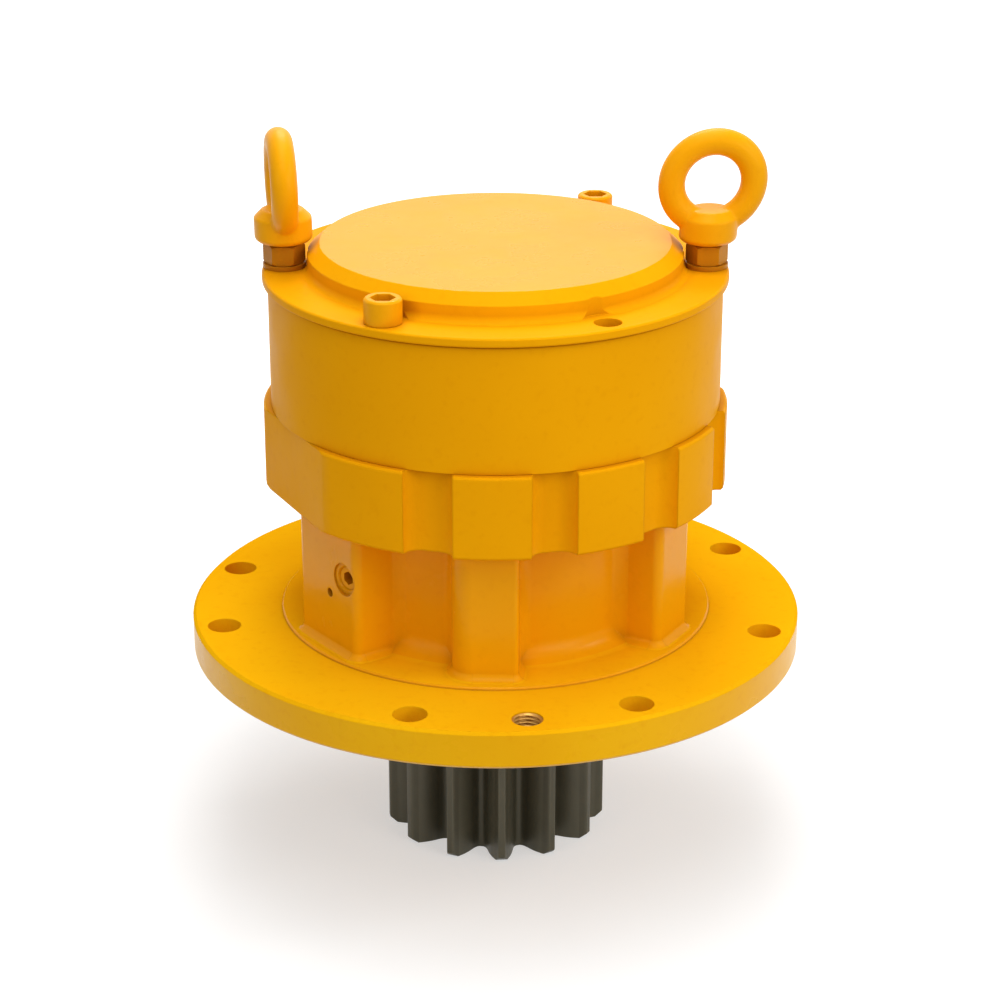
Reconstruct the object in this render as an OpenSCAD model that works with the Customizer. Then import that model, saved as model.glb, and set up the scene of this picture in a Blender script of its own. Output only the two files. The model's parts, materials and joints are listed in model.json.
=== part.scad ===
// Swing gearbox of a crawler excavator: two planetary stages in one ring gear, which
// turn a 13-tooth pinion under the mounting flange.
// Origin: centre of the flange's mounting face. +Z runs up the gearbox axis, and -Y is
// the side with the jacking hole. Bearing angles count from -Y, positive towards +X.

/* [Mounting flange] */
// Radius of the mounting flange
flange_r = 205; // [202:1:212]
// Thickness of the mounting flange
flange_t = 25; // [20:1:30]
// Distance from the flange's edge to the circle of mounting holes
flange_hole_inset = 19; // [17:1:24]
// Radius of one mounting hole
flange_hole_r = 11; // [9:0.5:12]
// Radius of the tapped jacking holes
jack_hole_r = 8.65; // [6.8:0.05:9]
// Radius of the pilot spigot under the flange
spigot_r = 130; // [126:1:134]
// Height of the pilot spigot
spigot_h = 8; // [6:1:12]

/* [Lower housing] */
// Height from the mounting face to the seat of the ring gear
housing_h = 172; // [170:1:180]
// Height of the scalloped upper flange
deck_t = 55; // [46:1:58]
// Reach of the scalloped flange's lobes beyond the drum
lobe_reach = 5; // [3:0.5:8]
// Depth of its recesses
recess_depth = 11; // [8:0.5:12]
// Wall of the neck outside the lower bearing
neck_wall = 17; // [14:1:22]
// Radius of the concave foot of the neck
foot_r = 14; // [10:1:16]
// Reach of the ribs beyond the neck
rib_reach = 28; // [25:1:31]
// Width of a rib
rib_w = 43; // [36:1:46]
// Width of the wide rib that carries the drain port
port_rib_w = 68; // [62:1:72]
// Radius of the drain plug's tapped hole
port_r = 7.5; // [6:0.1:8.5]

/* [Ring gear] */
// Wall of the drum outside the roots of its teeth
ring_wall = 29; // [28:0.5:32]
// Height of the drum
drum_h = 83; // [82:1:92]
// Distance from the drum's outside to the circle of cover fasteners
cover_hole_inset = 11; // [10.5:0.5:13]
// Distance from the drum's outside to the circle of its own screws
ring_screw_inset = 15; // [14:0.5:16]

/* [Cover] */
// Reach of the cover's rim beyond the drum
rim_reach = 3.5; // [2:0.5:6]
// Thickness of the rim
rim_t = 6; // [5:0.5:9]
// Distance from the circle of cover fasteners in to the raised disc's wall
disc_inset = 15; // [13:0.5:18]
// Height of the disc above the rim
disc_h = 18; // [15:1:24]
// Width of the slope round the disc's flat top
disc_slope_w = 8; // [4:0.5:9]
// Drop of that slope
disc_slope_h = 7; // [2:0.5:9]
// Thickness of the disc's roof
roof_t = 8; // [6:0.5:10]
// Radius of the cover's fastener holes
cover_hole_r = 8.75; // [8.6:0.05:9.5]

/* [Fasteners] */
// Thread radius of the cover's fasteners
m16_r = 8; // [7:0.5:8]
// Length of the cover screws under the head
cover_screw_l = 40; // [30:1:50]
// Thread radius of the ring gear's screws
m12_r = 6; // [5:0.5:6]
// Depth of their thread in the housing
ring_screw_bite = 24; // [18:1:30]
// Radius of the dowels
dowel_r = 5; // [4:0.5:5.5]
// Thread radius of the seal carrier's screws
m8_r = 4; // [3:0.5:4]
// Number of seal carrier screws
seal_screw_n = 8; // [6, 8, 10]

/* [Eye bolts] */
// Outer radius of the ring
eye_r = 35.3; // [33:0.1:37]
// Radius of the ring's round section
eye_section_r = 8.7; // [7.5:0.1:9.5]
// Height of the ring's centre above the rim
eye_centre_h = 56; // [54:1:64]
// Radius of the collar
eye_collar_r = 18.8; // [17:0.1:20]
// Height of the collar
eye_collar_h = 21.5; // [16:0.5:22]
// Gap between the lock nut and the collar
nut_gap = 1.3; // [0.8:0.1:4]
// Height of the lock nut
nut_h = 13; // [10:0.5:13]
// Width across the lock nut's flats
nut_af = 24; // [22:1:26]
// Depth of the eye bolt's shank below the rim's top
eye_shank_l = 36; // [26:1:44]

/* [Output pinion] */
// Module of the pinion
pinion_module = 10; // [9:0.1:10.2]
// Number of pinion teeth
pinion_teeth = 13; // [12, 13, 14]
// Face width of the pinion
pinion_w = 90; // [70:1:96]
// Reach of the pinion below the mounting face
pinion_reach = 138; // [132:1:150]
// Chamfer at the tips' ends
pinion_chamfer = 4; // [2:0.5:6]

/* [Output shaft] */
// Radius of the shaft in the lower bearing
shaft_r = 50; // [48:0.5:50]
// Radius of the shaft in the upper bearing
shaft_top_r = 42.5; // [41.5:0.5:44]
// Outer radius of the seal's running collar
collar_r = 60; // [59:0.5:62]
// Width of the oil seal's ring
seal_w = 15; // [12:1:18]
// Height of the oil seal
seal_h = 12; // [10:1:13]

/* [Bearings] */
// Outer radius of the lower bearing
low_cup_r = 90; // [88:0.5:92]
// Width of the lower bearing
low_w = 49; // [46:1:52]
// Outer radius of the upper bearing
up_cup_r = 75; // [73.5:0.5:77]
// Width of the upper bearing
up_w = 38; // [36:1:42]
// Rollers in each bearing
roller_n = 20; // [16:1:21]

/* [Gears] */
// Module of both planetary stages
gear_module = 4; // [3.8:0.05:4.05]
// Face width of the second stage's planets
planet_2_w = 28; // [24:1:30]
// Face width of the first stage's planets
planet_1_w = 20; // [16:1:21]
// Radius of the second stage's planet pins
pin_2_r = 16; // [14:0.5:18]
// Radius of the first stage's planet pins
pin_1_r = 12; // [10:0.5:14]
// Needle radius of the second stage
needle_2_r = 3; // [2.5:0.1:3.4]
// Needle radius of the first stage
needle_1_r = 2.5; // [2:0.1:3]
// Thickness of the second stage's thrust washers
washer_2_t = 1.5; // [1:0.1:2]
// Thickness of the first stage's thrust washers
washer_1_t = 1; // [0.8:0.1:1.5]

/* [Hidden] */

// Smoothness of round forms
$fn = 96;
// Overshoot of a cut past the face that it opens
cut = 1;
// Room between pieces that are pressed, bolted or threaded together
seat_gap = 0.03;
// Radial running clearance
run_gap = 0.06;
// Room between a screw's thread and its hole
thread_gap = 0.1;
// Axial room between parts that turn past each other
side_gap = 0.25;
// Room round a screw in a plain hole
screw_room = 0.5;
// Depth of a tapped hole beyond the end of its screw
tap_room = 2;
// Plain edge chamfer
edge = 1;
// Paint colours and metals
paint = [0.98, 0.72, 0.05];
dark_steel = [0.27, 0.25, 0.2];
bright_steel = [0.72, 0.72, 0.74];
bearing_steel = [0.62, 0.63, 0.66];
bronze = [0.72, 0.52, 0.22];
black_rubber = [0.08, 0.08, 0.08];

// Direction of the front, as an angle from +X
front = -90;
// Copies at places round the axis, as angles from the front towards +X
module around(r, angles, z = 0) {
    for (a = angles)
        rotate([0, 0, a + front])
            translate([r, 0, z])
                children();
}

// Heights of the housing
deck_z = housing_h - deck_t;
drum_z = housing_h;
rim_z = drum_z + drum_h;
rim_top = rim_z + rim_t;
disc_top = rim_top + disc_h;

// Mounting holes: seven of the eight places of an eighth-turn pattern, with the eighth
// moved round so that the gearbox fits one way only
hole_start = 28.4;
hole_step = 45;
flange_circle_r = flange_r - flange_hole_inset;
regular_holes = [for (i = [0 : 7]) if (i != 6) hole_start + hole_step * i];
odd_hole = -76.2;
flange_holes = concat(regular_holes, [odd_hole]);
jack_angles = [6.1, 186.1];

// Places of the cover's fasteners
screw_angles = [-30, 150];
eye_angles = [-90, 90];
open_angles = [30, -150];
cover_angles = concat(screw_angles, eye_angles, open_angles);
ring_screw_angles = [for (i = [0 : 5]) 60 * i];
dowel_angles = [15, 195];

// Gear teeth: the ring's count follows from the sun and the planets of the first stage,
// and the second sun's from the ring
sun_1_teeth = 21;
planet_1_teeth = 18;
planet_2_teeth = 21;
planet_1_n = 3;
planet_2_n = 4;
ring_teeth = sun_1_teeth + 2 * planet_1_teeth;
sun_2_teeth = ring_teeth - 2 * planet_2_teeth;
pressure_angle = 20;
backlash = 0.12;
addendum = gear_module;
dedendum = 1.25 * gear_module;
centre_1 = gear_module * (sun_1_teeth + planet_1_teeth) / 2;
centre_2 = gear_module * (sun_2_teeth + planet_2_teeth) / 2;
ring_tip_r = gear_module * ring_teeth / 2 - addendum;
ring_root_r = gear_module * ring_teeth / 2 + dedendum;
deck_bore_room = 1;
deck_bore_r = ring_root_r + deck_bore_room;

// Radii that follow from the ring gear's teeth and its wall
drum_r = ring_root_r + ring_wall;
cover_circle_r = drum_r - cover_hole_inset;
ring_circle_r = drum_r - ring_screw_inset;
lobe_r = drum_r + lobe_reach;
recess_r = lobe_r - recess_depth;
rim_r = drum_r + rim_reach;
disc_r = cover_circle_r - disc_inset;

function tip_r(teeth) = gear_module * teeth / 2 + addendum;
function root_r(teeth) = gear_module * teeth / 2 - dedendum;
function planet_phase(a, planet) = a * (1 - ring_teeth / planet);
function sun_phase(sun, planet) = -360 / sun * (0.5 - 180 * planet / 360);

// Involute teeth as one outline. grow widens each tooth's flanks, for a tooth space
function involute(a) = tan(a) * 180 / PI - a;
function half_tooth(r, pitch_r, base_r, teeth, grow) =
    90 / teeth + involute(pressure_angle)
    - involute(acos(min(1, base_r / max(r, base_r)))) + grow / pitch_r * 180 / PI;
function flank_radii(inner, base_r, outer, steps) = let (start = max(inner, base_r))
    concat(inner < base_r ? [inner] : [],
        [for (i = [0 : steps]) start + (outer - start) * i / steps]);
function tooth_outline(mod, teeth, add, ded, grow, steps) =
    let (pitch_r = mod * teeth / 2,
        base_r = pitch_r * cos(pressure_angle),
        radii = flank_radii(pitch_r - ded, base_r, pitch_r + add, steps),
        last = len(radii) - 1)
    [for (k = [0 : teeth - 1], side = [-1, 1], i = [0 : last])
        let (r = radii[side < 0 ? i : last - i],
            a = 360 * k / teeth + side * half_tooth(r, pitch_r, base_r, teeth, grow))
        [r * cos(a), r * sin(a)]];
flank_steps = 3;
module gear_outline(teeth) {
    polygon(tooth_outline(gear_module, teeth, addendum, dedendum, -backlash, flank_steps));
}

// Spline: straight-sided teeth between two radii
spline_duty = 0.24;
function spline_points(teeth, low_r, high_r, grow) =
    [for (k = [0 : teeth - 1], c = [[-1, low_r], [-1, high_r], [1, high_r], [1, low_r]])
        let (share = c[1] == low_r ? 0.5 - spline_duty : spline_duty,
            a = 360 / teeth * (k + c[0] * share) + c[0] * grow / c[1] * 180 / PI)
        [c[1] * cos(a), c[1] * sin(a)]];
spline_gap = 0.05;
module spline(teeth, low_r, high_r, hole = false) {
    extra = hole ? spline_gap : 0;
    polygon(spline_points(teeth, low_r + extra, high_r + extra, extra));
}

// Plain rings and rounds
module ring(outer, inner, h) {
    difference() {
        cylinder(h = h, r = outer);
        translate([0, 0, -cut])
            cylinder(h = h + 2 * cut, r = inner);
    }
}
module chamfered_round(r, h, c) {
    cylinder(h = h - c, r = r);
    translate([0, 0, h - c])
        cylinder(h = c, r1 = r, r2 = r - c);
}

// Fastener forms
socket_depth_share = 0.55;
module socket_screw(r, length, head_r, head_h, key_af) {
    difference() {
        union() {
            translate([0, 0, -length])
                cylinder(h = length + edge, r = r);
            chamfered_round(head_r, head_h, head_h / 12);
        }
        translate([0, 0, head_h * (1 - socket_depth_share)])
            cylinder(h = head_h, r = key_af / sqrt(3), $fn = 6);
    }
}
m16_head_r = 12;
m16_head_h = 16;
m16_key = 14;
m12_head_r = 9;
m12_head_h = 12;
m12_key = 10;
m8_head_r = 6.5;
m8_head_h = 8;
m8_key = 6;

// Lower housing
low_z = 3;
low_top = low_z + low_w;
chamber_h = 38;
up_top = housing_h - chamber_h;
up_z = up_top - up_w;
shoulder_w = 6;
neck_bore_r = up_cup_r - shoulder_w;
machined_step = 2;
neck_r = low_cup_r + neck_wall;
rib_r = neck_r + rib_reach;
pad_reach = 10;
pad_r = rib_r + pad_reach;
pad_z = flange_t + machined_step;
foot_steps = 8;
flange_chamfer = 2;
neck_blend = 8;
port_angle = -45.6;
port_z = 80;
port_bevel = 1.5;
port_rib_angle = -54;
rib_edge_r = 6;
rib_root = 12;
// Ribs as angle, width, and the radii of the left and the right edge. The front one is
// round on the left and sharp on the right
front_left_r = 14;
front_right_r = 3;
ribs = concat([[-3, rib_w, front_left_r, front_right_r]],
    [for (a = [60, 120, 180, 240]) [a, rib_w, rib_edge_r, rib_edge_r]],
    [[port_rib_angle, port_rib_w, rib_edge_r, rib_edge_r]]);
// Fillets of the ribs at the neck and at the pad, each cut by a little more than its own
// radius so that it crosses both faces
root_fillet_r = 12;
toe_fillet_r = 6.5;
fillet_over = 0.1;
lobe_chamfer = 1.5;
// Lobes as pairs of angles: the left one is long, with a shallow flat across it
lobes = [[-10, 8.5], [19.5, 37.5], [49, 66.5], [78, 96], [108, 126], [138, 156],
    [168, 186], [198, 216], [228, 246], [261, 338]];
flat_angle = -63;
flat_depth = 7.2;

module housing_profile() {
    polygon(concat(
        [[0, -spigot_h], [spigot_r - edge, -spigot_h], [spigot_r, edge - spigot_h],
            [spigot_r, 0],
            [flange_r - flange_chamfer, 0], [flange_r, flange_chamfer],
            [flange_r, flange_t - flange_chamfer],
            [flange_r - flange_chamfer, flange_t], [pad_r, flange_t],
            [pad_r, pad_z - edge], [pad_r - edge, pad_z]],
        [for (i = [0 : foot_steps])
            let (a = 90 * (1 - i / foot_steps))
            [neck_r + foot_r * (1 - cos(a)), pad_z + foot_r * (1 - sin(a))]],
        [[neck_r, deck_z - neck_blend], [neck_r + neck_blend, deck_z],
            [lobe_r - lobe_chamfer, deck_z], [lobe_r, deck_z + lobe_chamfer],
            [lobe_r, housing_h - lobe_chamfer], [lobe_r - lobe_chamfer, housing_h],
            [0, housing_h]]));
}
module rib(angle, width, left_r, right_r) {
    inner = neck_r - rib_root;
    rib_h = deck_z - flange_t + 2 * cut;
    rotate([0, 0, angle + front])
        translate([0, 0, flange_t - cut]) {
            translate([inner, left_r - width / 2, 0])
                cube([rib_r - inner, width - left_r - right_r, rib_h]);
            rib_side(width, left_r, -1, rib_h);
            rib_side(width, right_r, 1, rib_h);
            translate([0, 0, cut + machined_step])
                rib_toe(width, left_r, right_r);
        }
}
// One side of a rib: its flat, its round edge and the fillet to the neck
module rib_side(width, edge_r, side, rib_h) {
    inner = neck_r - rib_root;
    fillet_y = width / 2 + root_fillet_r;
    fillet_x = sqrt(pow(neck_r + root_fillet_r, 2) - pow(fillet_y, 2));
    share = (neck_r - cut) / (neck_r + root_fillet_r);
    mirror([0, side < 0 ? 1 : 0, 0]) {
        translate([inner, width / 2 - edge_r - cut, 0])
            cube([rib_r - edge_r - inner, edge_r + cut, rib_h]);
        translate([rib_r - edge_r, width / 2 - edge_r, 0])
            cylinder(h = rib_h, r = edge_r, $fn = 32);
        difference() {
            linear_extrude(height = rib_h)
                polygon([[inner, width / 2 - cut], [fillet_x, width / 2 - cut],
                    [fillet_x, fillet_y], [share * fillet_x, share * fillet_y]]);
            translate([fillet_x, fillet_y, -cut])
                cylinder(h = rib_h + 2 * cut, r = root_fillet_r + fillet_over);
        }
    }
}
// Concave toe round a rib's foot, as three straight runs and a ring at each edge
module rib_toe(width, left_r, right_r) {
    start = neck_r - rib_root;
    translate([rib_r, left_r - width / 2, 0])
        toe_run(width - left_r - right_r);
    translate([start, width / 2, 0])
        rotate([0, 0, 90])
            mirror([0, 1, 0])
                toe_run(rib_r - right_r - start);
    translate([start, -width / 2, 0])
        rotate([0, 0, -90])
            toe_run(rib_r - left_r - start);
    translate([rib_r - left_r, left_r - width / 2, 0])
        toe_ring(left_r);
    translate([rib_r - right_r, width / 2 - right_r, 0])
        toe_ring(right_r);
}
// A straight toe at the plane x = 0, which runs along +Y
module toe_run(length) {
    difference() {
        translate([-cut, 0, -cut])
            cube([toe_fillet_r, length, toe_fillet_r + cut]);
        translate([toe_fillet_r, -cut, toe_fillet_r])
            rotate([-90, 0, 0])
                cylinder(h = length + 2 * cut, r = toe_fillet_r + fillet_over);
    }
}
module toe_ring(edge_r) {
    difference() {
        translate([0, 0, -cut])
            cylinder(h = toe_fillet_r, r = edge_r + toe_fillet_r - cut);
        translate([0, 0, toe_fillet_r])
            rotate_extrude()
                translate([edge_r + toe_fillet_r, 0])
                    circle(r = toe_fillet_r + 2 * fillet_over, $fn = 48);
    }
}
// One recess between two lobes: a flat floor with a round corner at each end, which runs
// out at the lobes' circle
module recess(from, to) {
    half = (to - from) / 2;
    corner_x = lobe_r * cos(half);
    corner_r = corner_x - recess_r;
    corner_y = lobe_r * sin(half) - corner_r;
    mouth_y = corner_y + corner_r - cut / 2;
    rotate([0, 0, (from + to) / 2 + front])
        translate([0, 0, deck_z - cut]) {
            translate([recess_r, -corner_y, 0])
                cube([corner_r + 4 * cut, 2 * corner_y, deck_t + 2 * cut]);
            translate([corner_x, -mouth_y, 0])
                cube([4 * cut, 2 * mouth_y, deck_t + 2 * cut]);
            for (side = [-1, 1])
                translate([corner_x, side * corner_y, 0])
                    cylinder(h = deck_t + 2 * cut, r = corner_r, $fn = 48);
        }
}
module side_flat() {
    rotate([0, 0, flat_angle + front])
        translate([lobe_r - flat_depth, -lobe_r / 2, deck_z - cut])
            cube([2 * flat_depth, lobe_r, deck_t + 2 * cut]);
}
module lower_housing() {
    color(paint)
    difference() {
        union() {
            rotate_extrude()
                housing_profile();
            for (r = ribs)
                rib(r[0], r[1], r[2], r[3]);
        }
        for (i = [0 : len(lobes) - 1])
            recess(lobes[i][1], i < len(lobes) - 1 ? lobes[i + 1][0] : lobes[0][0] + 360);
        side_flat();
        translate([0, 0, -spigot_h - cut])
            cylinder(h = spigot_h + cut + low_top, r = low_cup_r + seat_gap);
        translate([0, 0, low_top - cut])
            cylinder(h = up_z - low_top + 2 * cut, r = neck_bore_r);
        translate([0, 0, up_z])
            cylinder(h = up_w + cut, r = up_cup_r + seat_gap);
        translate([0, 0, up_top])
            cylinder(h = housing_h, r = deck_bore_r);
        around(flange_circle_r, flange_holes, -cut)
            cylinder(h = flange_t + 2 * cut, r = flange_hole_r);
        around(flange_circle_r, jack_angles, -cut)
            cylinder(h = flange_t + 2 * cut, r = jack_hole_r);
        around(ring_circle_r, ring_screw_angles, housing_h - ring_screw_bite - cut)
            cylinder(h = ring_screw_bite + 2 * cut, r = m12_r + thread_gap);
        around(ring_circle_r, dowel_angles, housing_h - dowel_depth)
            cylinder(h = dowel_depth + cut, r = dowel_r + seat_gap);
        around(seal_circle_r, seal_screw_angles, -spigot_h - cut)
            cylinder(h = seal_screw_bite + 2 * cut, r = m8_r + thread_gap);
        port_hole();
        tooling_hole();
    }
}
// The small blind hole beside the port, square to the wide rib's face
tooling_hole_r = 3;
tooling_hole_depth = 8;
tooling_hole_side = 3.4;
tooling_hole_z = 65.5;
module tooling_hole() {
    rotate([0, 0, port_rib_angle + front])
        translate([rib_r - tooling_hole_depth, tooling_hole_side, tooling_hole_z])
            rotate([0, 90, 0])
                cylinder(h = tooling_hole_depth + cut, r = tooling_hole_r, $fn = 32);
}
// The drain port, drilled radially through the wide rib into the oil space, with a spot
// face for the plug
spot_r = 11;
spot_sink = 1.2;
port_tilt = port_angle - port_rib_angle;
port_face_r = (rib_r - spot_r * sin(port_tilt)) / cos(port_tilt) - spot_sink;
module port_hole() {
    rotate([0, 0, port_angle + front])
        translate([0, 0, port_z])
            rotate([0, 90, 0]) {
                translate([0, 0, neck_bore_r - cut])
                    cylinder(h = port_face_r - neck_bore_r + 2 * cut, r = port_r);
                translate([0, 0, port_face_r - port_bevel])
                    cylinder(h = port_bevel + cut, r1 = port_r, r2 = port_r + port_bevel);
                translate([0, 0, port_face_r])
                    cylinder(h = pad_r - port_face_r, r = spot_r);
            }
}
plug_sink = 1.2;
plug_l = 14;
plug_key = 8;
module drain_plug() {
    color(dark_steel)
    rotate([0, 0, port_angle + front])
        translate([0, 0, port_z])
            rotate([0, 90, 0])
                translate([0, 0, port_face_r - plug_sink - plug_l])
                    difference() {
                        cylinder(h = plug_l, r = port_r - seat_gap);
                        translate([0, 0, plug_l * (1 - socket_depth_share)])
                            cylinder(h = plug_l, r = plug_key / sqrt(3), $fn = 6);
                    }
}

// Ring gear
register_step = 2;
register_r = ring_root_r + register_step;
register_h = 4;
groove_leg = 3.6;
o_ring_room = 0.02;
o_ring_r = groove_leg * (1 - sqrt(1 / 2));
ring_head_sink = 3;
ring_head_z = rim_z - m12_head_h - ring_head_sink;
dowel_depth = 12;
drum_chamfer = 1.5;
module ring_gear() {
    color(paint)
    difference() {
        union() {
            translate([0, 0, drum_z])
                cylinder(h = drum_h - drum_chamfer, r = drum_r);
            translate([0, 0, rim_z - drum_chamfer])
                cylinder(h = drum_chamfer, r1 = drum_r, r2 = drum_r - drum_chamfer);
        }
        translate([0, 0, drum_z - cut])
            linear_extrude(height = drum_h + 2 * cut)
                polygon(tooth_outline(gear_module, ring_teeth, dedendum, addendum,
                    backlash, flank_steps));
        translate([0, 0, rim_z - register_h])
            cylinder(h = register_h + cut, r = register_r + seat_gap);
        translate([0, 0, rim_z - groove_leg])
            cylinder(h = groove_leg + cut, r1 = register_r, r2 = register_r + groove_leg + cut);
        around(ring_circle_r, ring_screw_angles, drum_z - cut)
            cylinder(h = drum_h, r = m12_r + screw_room);
        around(ring_circle_r, ring_screw_angles, ring_head_z)
            cylinder(h = drum_h, r = m12_head_r + screw_room);
        around(ring_circle_r, dowel_angles, drum_z - cut)
            cylinder(h = dowel_depth + cut, r = dowel_r + seat_gap);
        around(cover_circle_r, cover_angles, rim_z - tap_depth)
            cylinder(h = tap_depth + cut, r = m16_r + thread_gap);
    }
}
tap_depth = max(cover_screw_l, eye_shank_l) - rim_t + 2 * tap_room;
module ring_gear_bolts() {
    color(dark_steel)
    around(ring_circle_r, ring_screw_angles, ring_head_z)
        socket_screw(m12_r, ring_head_z - housing_h + ring_screw_bite - tap_room,
            m12_head_r, m12_head_h, m12_key);
}
module dowel_pins() {
    color(bright_steel)
    around(ring_circle_r, dowel_angles, housing_h - dowel_depth)
        cylinder(h = 2 * dowel_depth, r = dowel_r);
}

// Cover
disc_foot_r = 5;
disc_foot_steps = 6;
scallop_r = 16;
pocket_wall = 18;
pocket_r = disc_r - pocket_wall;
module rim_profile() {
    polygon([[0, rim_z - register_h], [register_r - seat_gap, rim_z - register_h],
        [register_r - seat_gap, rim_z], [rim_r - edge, rim_z], [rim_r, rim_z + edge],
        [rim_r, rim_top - edge], [rim_r - edge, rim_top], [0, rim_top]]);
}
module disc_profile() {
    foot_x = disc_r + disc_foot_r;
    polygon(concat(
        [[0, rim_top - cut], [foot_x, rim_top - cut]],
        [for (i = [0 : disc_foot_steps])
            let (a = 90 * i / disc_foot_steps)
            [foot_x - disc_foot_r * sin(a), rim_top + disc_foot_r * (1 - cos(a))]],
        [[disc_r, disc_top - disc_slope_h], [disc_r - disc_slope_w, disc_top],
            [0, disc_top]]));
}
module top_cover() {
    color(paint)
    difference() {
        union() {
            rotate_extrude()
                rim_profile();
            difference() {
                rotate_extrude()
                    disc_profile();
                around(cover_circle_r, cover_angles, rim_top - 2 * cut)
                    cylinder(h = disc_h + 3 * cut, r = scallop_r);
                around(cover_circle_r, eye_angles, rim_top + eye_collar_z)
                    collar_room();
            }
        }
        translate([0, 0, rim_z - register_h - cut])
            cylinder(h = disc_top - roof_t - rim_z + register_h + cut, r = pocket_r);
        around(cover_circle_r, cover_angles, rim_z - register_h - cut)
            cylinder(h = rim_t + register_h + 2 * cut, r = cover_hole_r);
    }
}
// Room for an eye bolt's collar at the edge of the disc
module collar_room() {
    translate([0, 0, -collar_gap]) {
        cylinder(h = collar_bevel, r1 = eye_collar_r - collar_bevel + collar_gap,
            r2 = eye_collar_r + collar_gap);
        translate([0, 0, collar_bevel])
            cylinder(h = disc_h, r = eye_collar_r + collar_gap);
    }
}
collar_gap = 0.15;
module cover_screws() {
    color(dark_steel)
    around(cover_circle_r, screw_angles, rim_top)
        socket_screw(m16_r, cover_screw_l, m16_head_r, m16_head_h, m16_key);
}
module cover_o_ring() {
    color(black_rubber)
    translate([0, 0, rim_z - o_ring_r])
        rotate_extrude()
            translate([register_r + o_ring_r, 0])
                circle(r = o_ring_r - o_ring_room, $fn = 24);
}

// Eye bolts, their lock nuts and washers
eye_turn = [99, 3];
eye_mid_r = eye_r - eye_section_r;
washer_t = 3;
washer_r = 14;
eye_collar_z = washer_t + nut_h + nut_gap;
collar_bevel = 2.5;
collar_top_bevel = 5.5;
nut_bevel = 1.5;
module eye_bolt(turn) {
    color(dark_steel)
    translate([0, 0, rim_top]) {
        translate([0, 0, -eye_shank_l])
            cylinder(h = eye_shank_l + eye_collar_z + cut, r = m16_r);
        translate([0, 0, eye_collar_z]) {
            cylinder(h = collar_bevel, r1 = eye_collar_r - collar_bevel, r2 = eye_collar_r);
            translate([0, 0, collar_bevel])
                chamfered_round(eye_collar_r, eye_collar_h - collar_bevel, collar_top_bevel);
        }
        rotate([0, 0, turn])
            translate([0, 0, eye_centre_h])
                rotate([90, 0, 0])
                    rotate_extrude()
                        translate([eye_mid_r, 0])
                            circle(r = eye_section_r, $fn = 48);
    }
}
module eye_bolt_left() {
    around(cover_circle_r, [eye_angles[0]])
        rotate([0, 0, -front - eye_angles[0]])
            eye_bolt(eye_turn[0]);
}
module eye_bolt_right() {
    around(cover_circle_r, [eye_angles[1]])
        rotate([0, 0, -front - eye_angles[1]])
            eye_bolt(eye_turn[1]);
}
module lock_nut() {
    corner_r = nut_af / sqrt(3);
    difference() {
        intersection() {
            cylinder(h = nut_h, r = corner_r, $fn = 6);
            cylinder(h = nut_h, r1 = corner_r + nut_h - nut_bevel, r2 = corner_r - nut_bevel);
            cylinder(h = nut_h, r1 = corner_r - nut_bevel, r2 = corner_r + nut_h - nut_bevel);
        }
        translate([0, 0, -cut])
            cylinder(h = nut_h + 2 * cut, r = m16_r + thread_gap);
    }
}
module eye_bolt_nuts() {
    color(dark_steel)
    around(cover_circle_r, eye_angles, rim_top + washer_t)
        lock_nut();
}
module eye_bolt_washers() {
    color(dark_steel)
    around(cover_circle_r, eye_angles, rim_top)
        ring(washer_r, m16_r + screw_room, washer_t);
}

// Tapered roller bearing, built about its middle height with the rollers' thick ends at
// the bottom. low_side is -1 where the thick ends point up
roller_tilt = 13;
function roller_mid_r(bore, cup) = (bore + cup) / 2 + 1;
function roller_r(bore, cup) = (cup - bore) * 0.2125;
function roller_l(w) = w * 0.655;
function roller_slant(bore, cup) = roller_mid_r(bore, cup) / sin(roller_tilt);
function roller_taper(bore, cup) = asin(roller_r(bore, cup) / roller_slant(bore, cup));
function race_r(bore, cup, side, h) =
    (roller_mid_r(bore, cup) / tan(roller_tilt) - h)
    * tan(roller_tilt + side * roller_taper(bore, cup)) + side * run_gap;
module bearing_cup(bore, cup, w) {
    cup_z = -w / 2 + w / 7;
    rotate_extrude()
        polygon([[race_r(bore, cup, 1, cup_z), cup_z], [cup - 1, cup_z], [cup, cup_z + 1],
            [cup, w / 2 - 1], [cup - 1, w / 2], [race_r(bore, cup, 1, w / 2), w / 2]]);
}
module bearing_cone(bore, cup, w) {
    cone_top = w / 2 - w / 10;
    end_h = roller_l(w) / 2 * cos(roller_tilt);
    rib_low = -end_h - roller_r(bore, cup) * sin(roller_tilt) - 0.3;
    rib_high = end_h + 1;
    flange_out = race_r(bore, cup, -1, rib_low) + roller_r(bore, cup) * 0.45;
    rotate_extrude()
        polygon([[bore, -w / 2], [flange_out, -w / 2], [flange_out, rib_low],
            [race_r(bore, cup, -1, rib_low), rib_low],
            [race_r(bore, cup, -1, rib_high), rib_high],
            [race_r(bore, cup, -1, rib_high) + roller_r(bore, cup) * 0.2, rib_high],
            [race_r(bore, cup, -1, rib_high) + roller_r(bore, cup) * 0.2, cone_top],
            [bore, cone_top]]);
}
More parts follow.
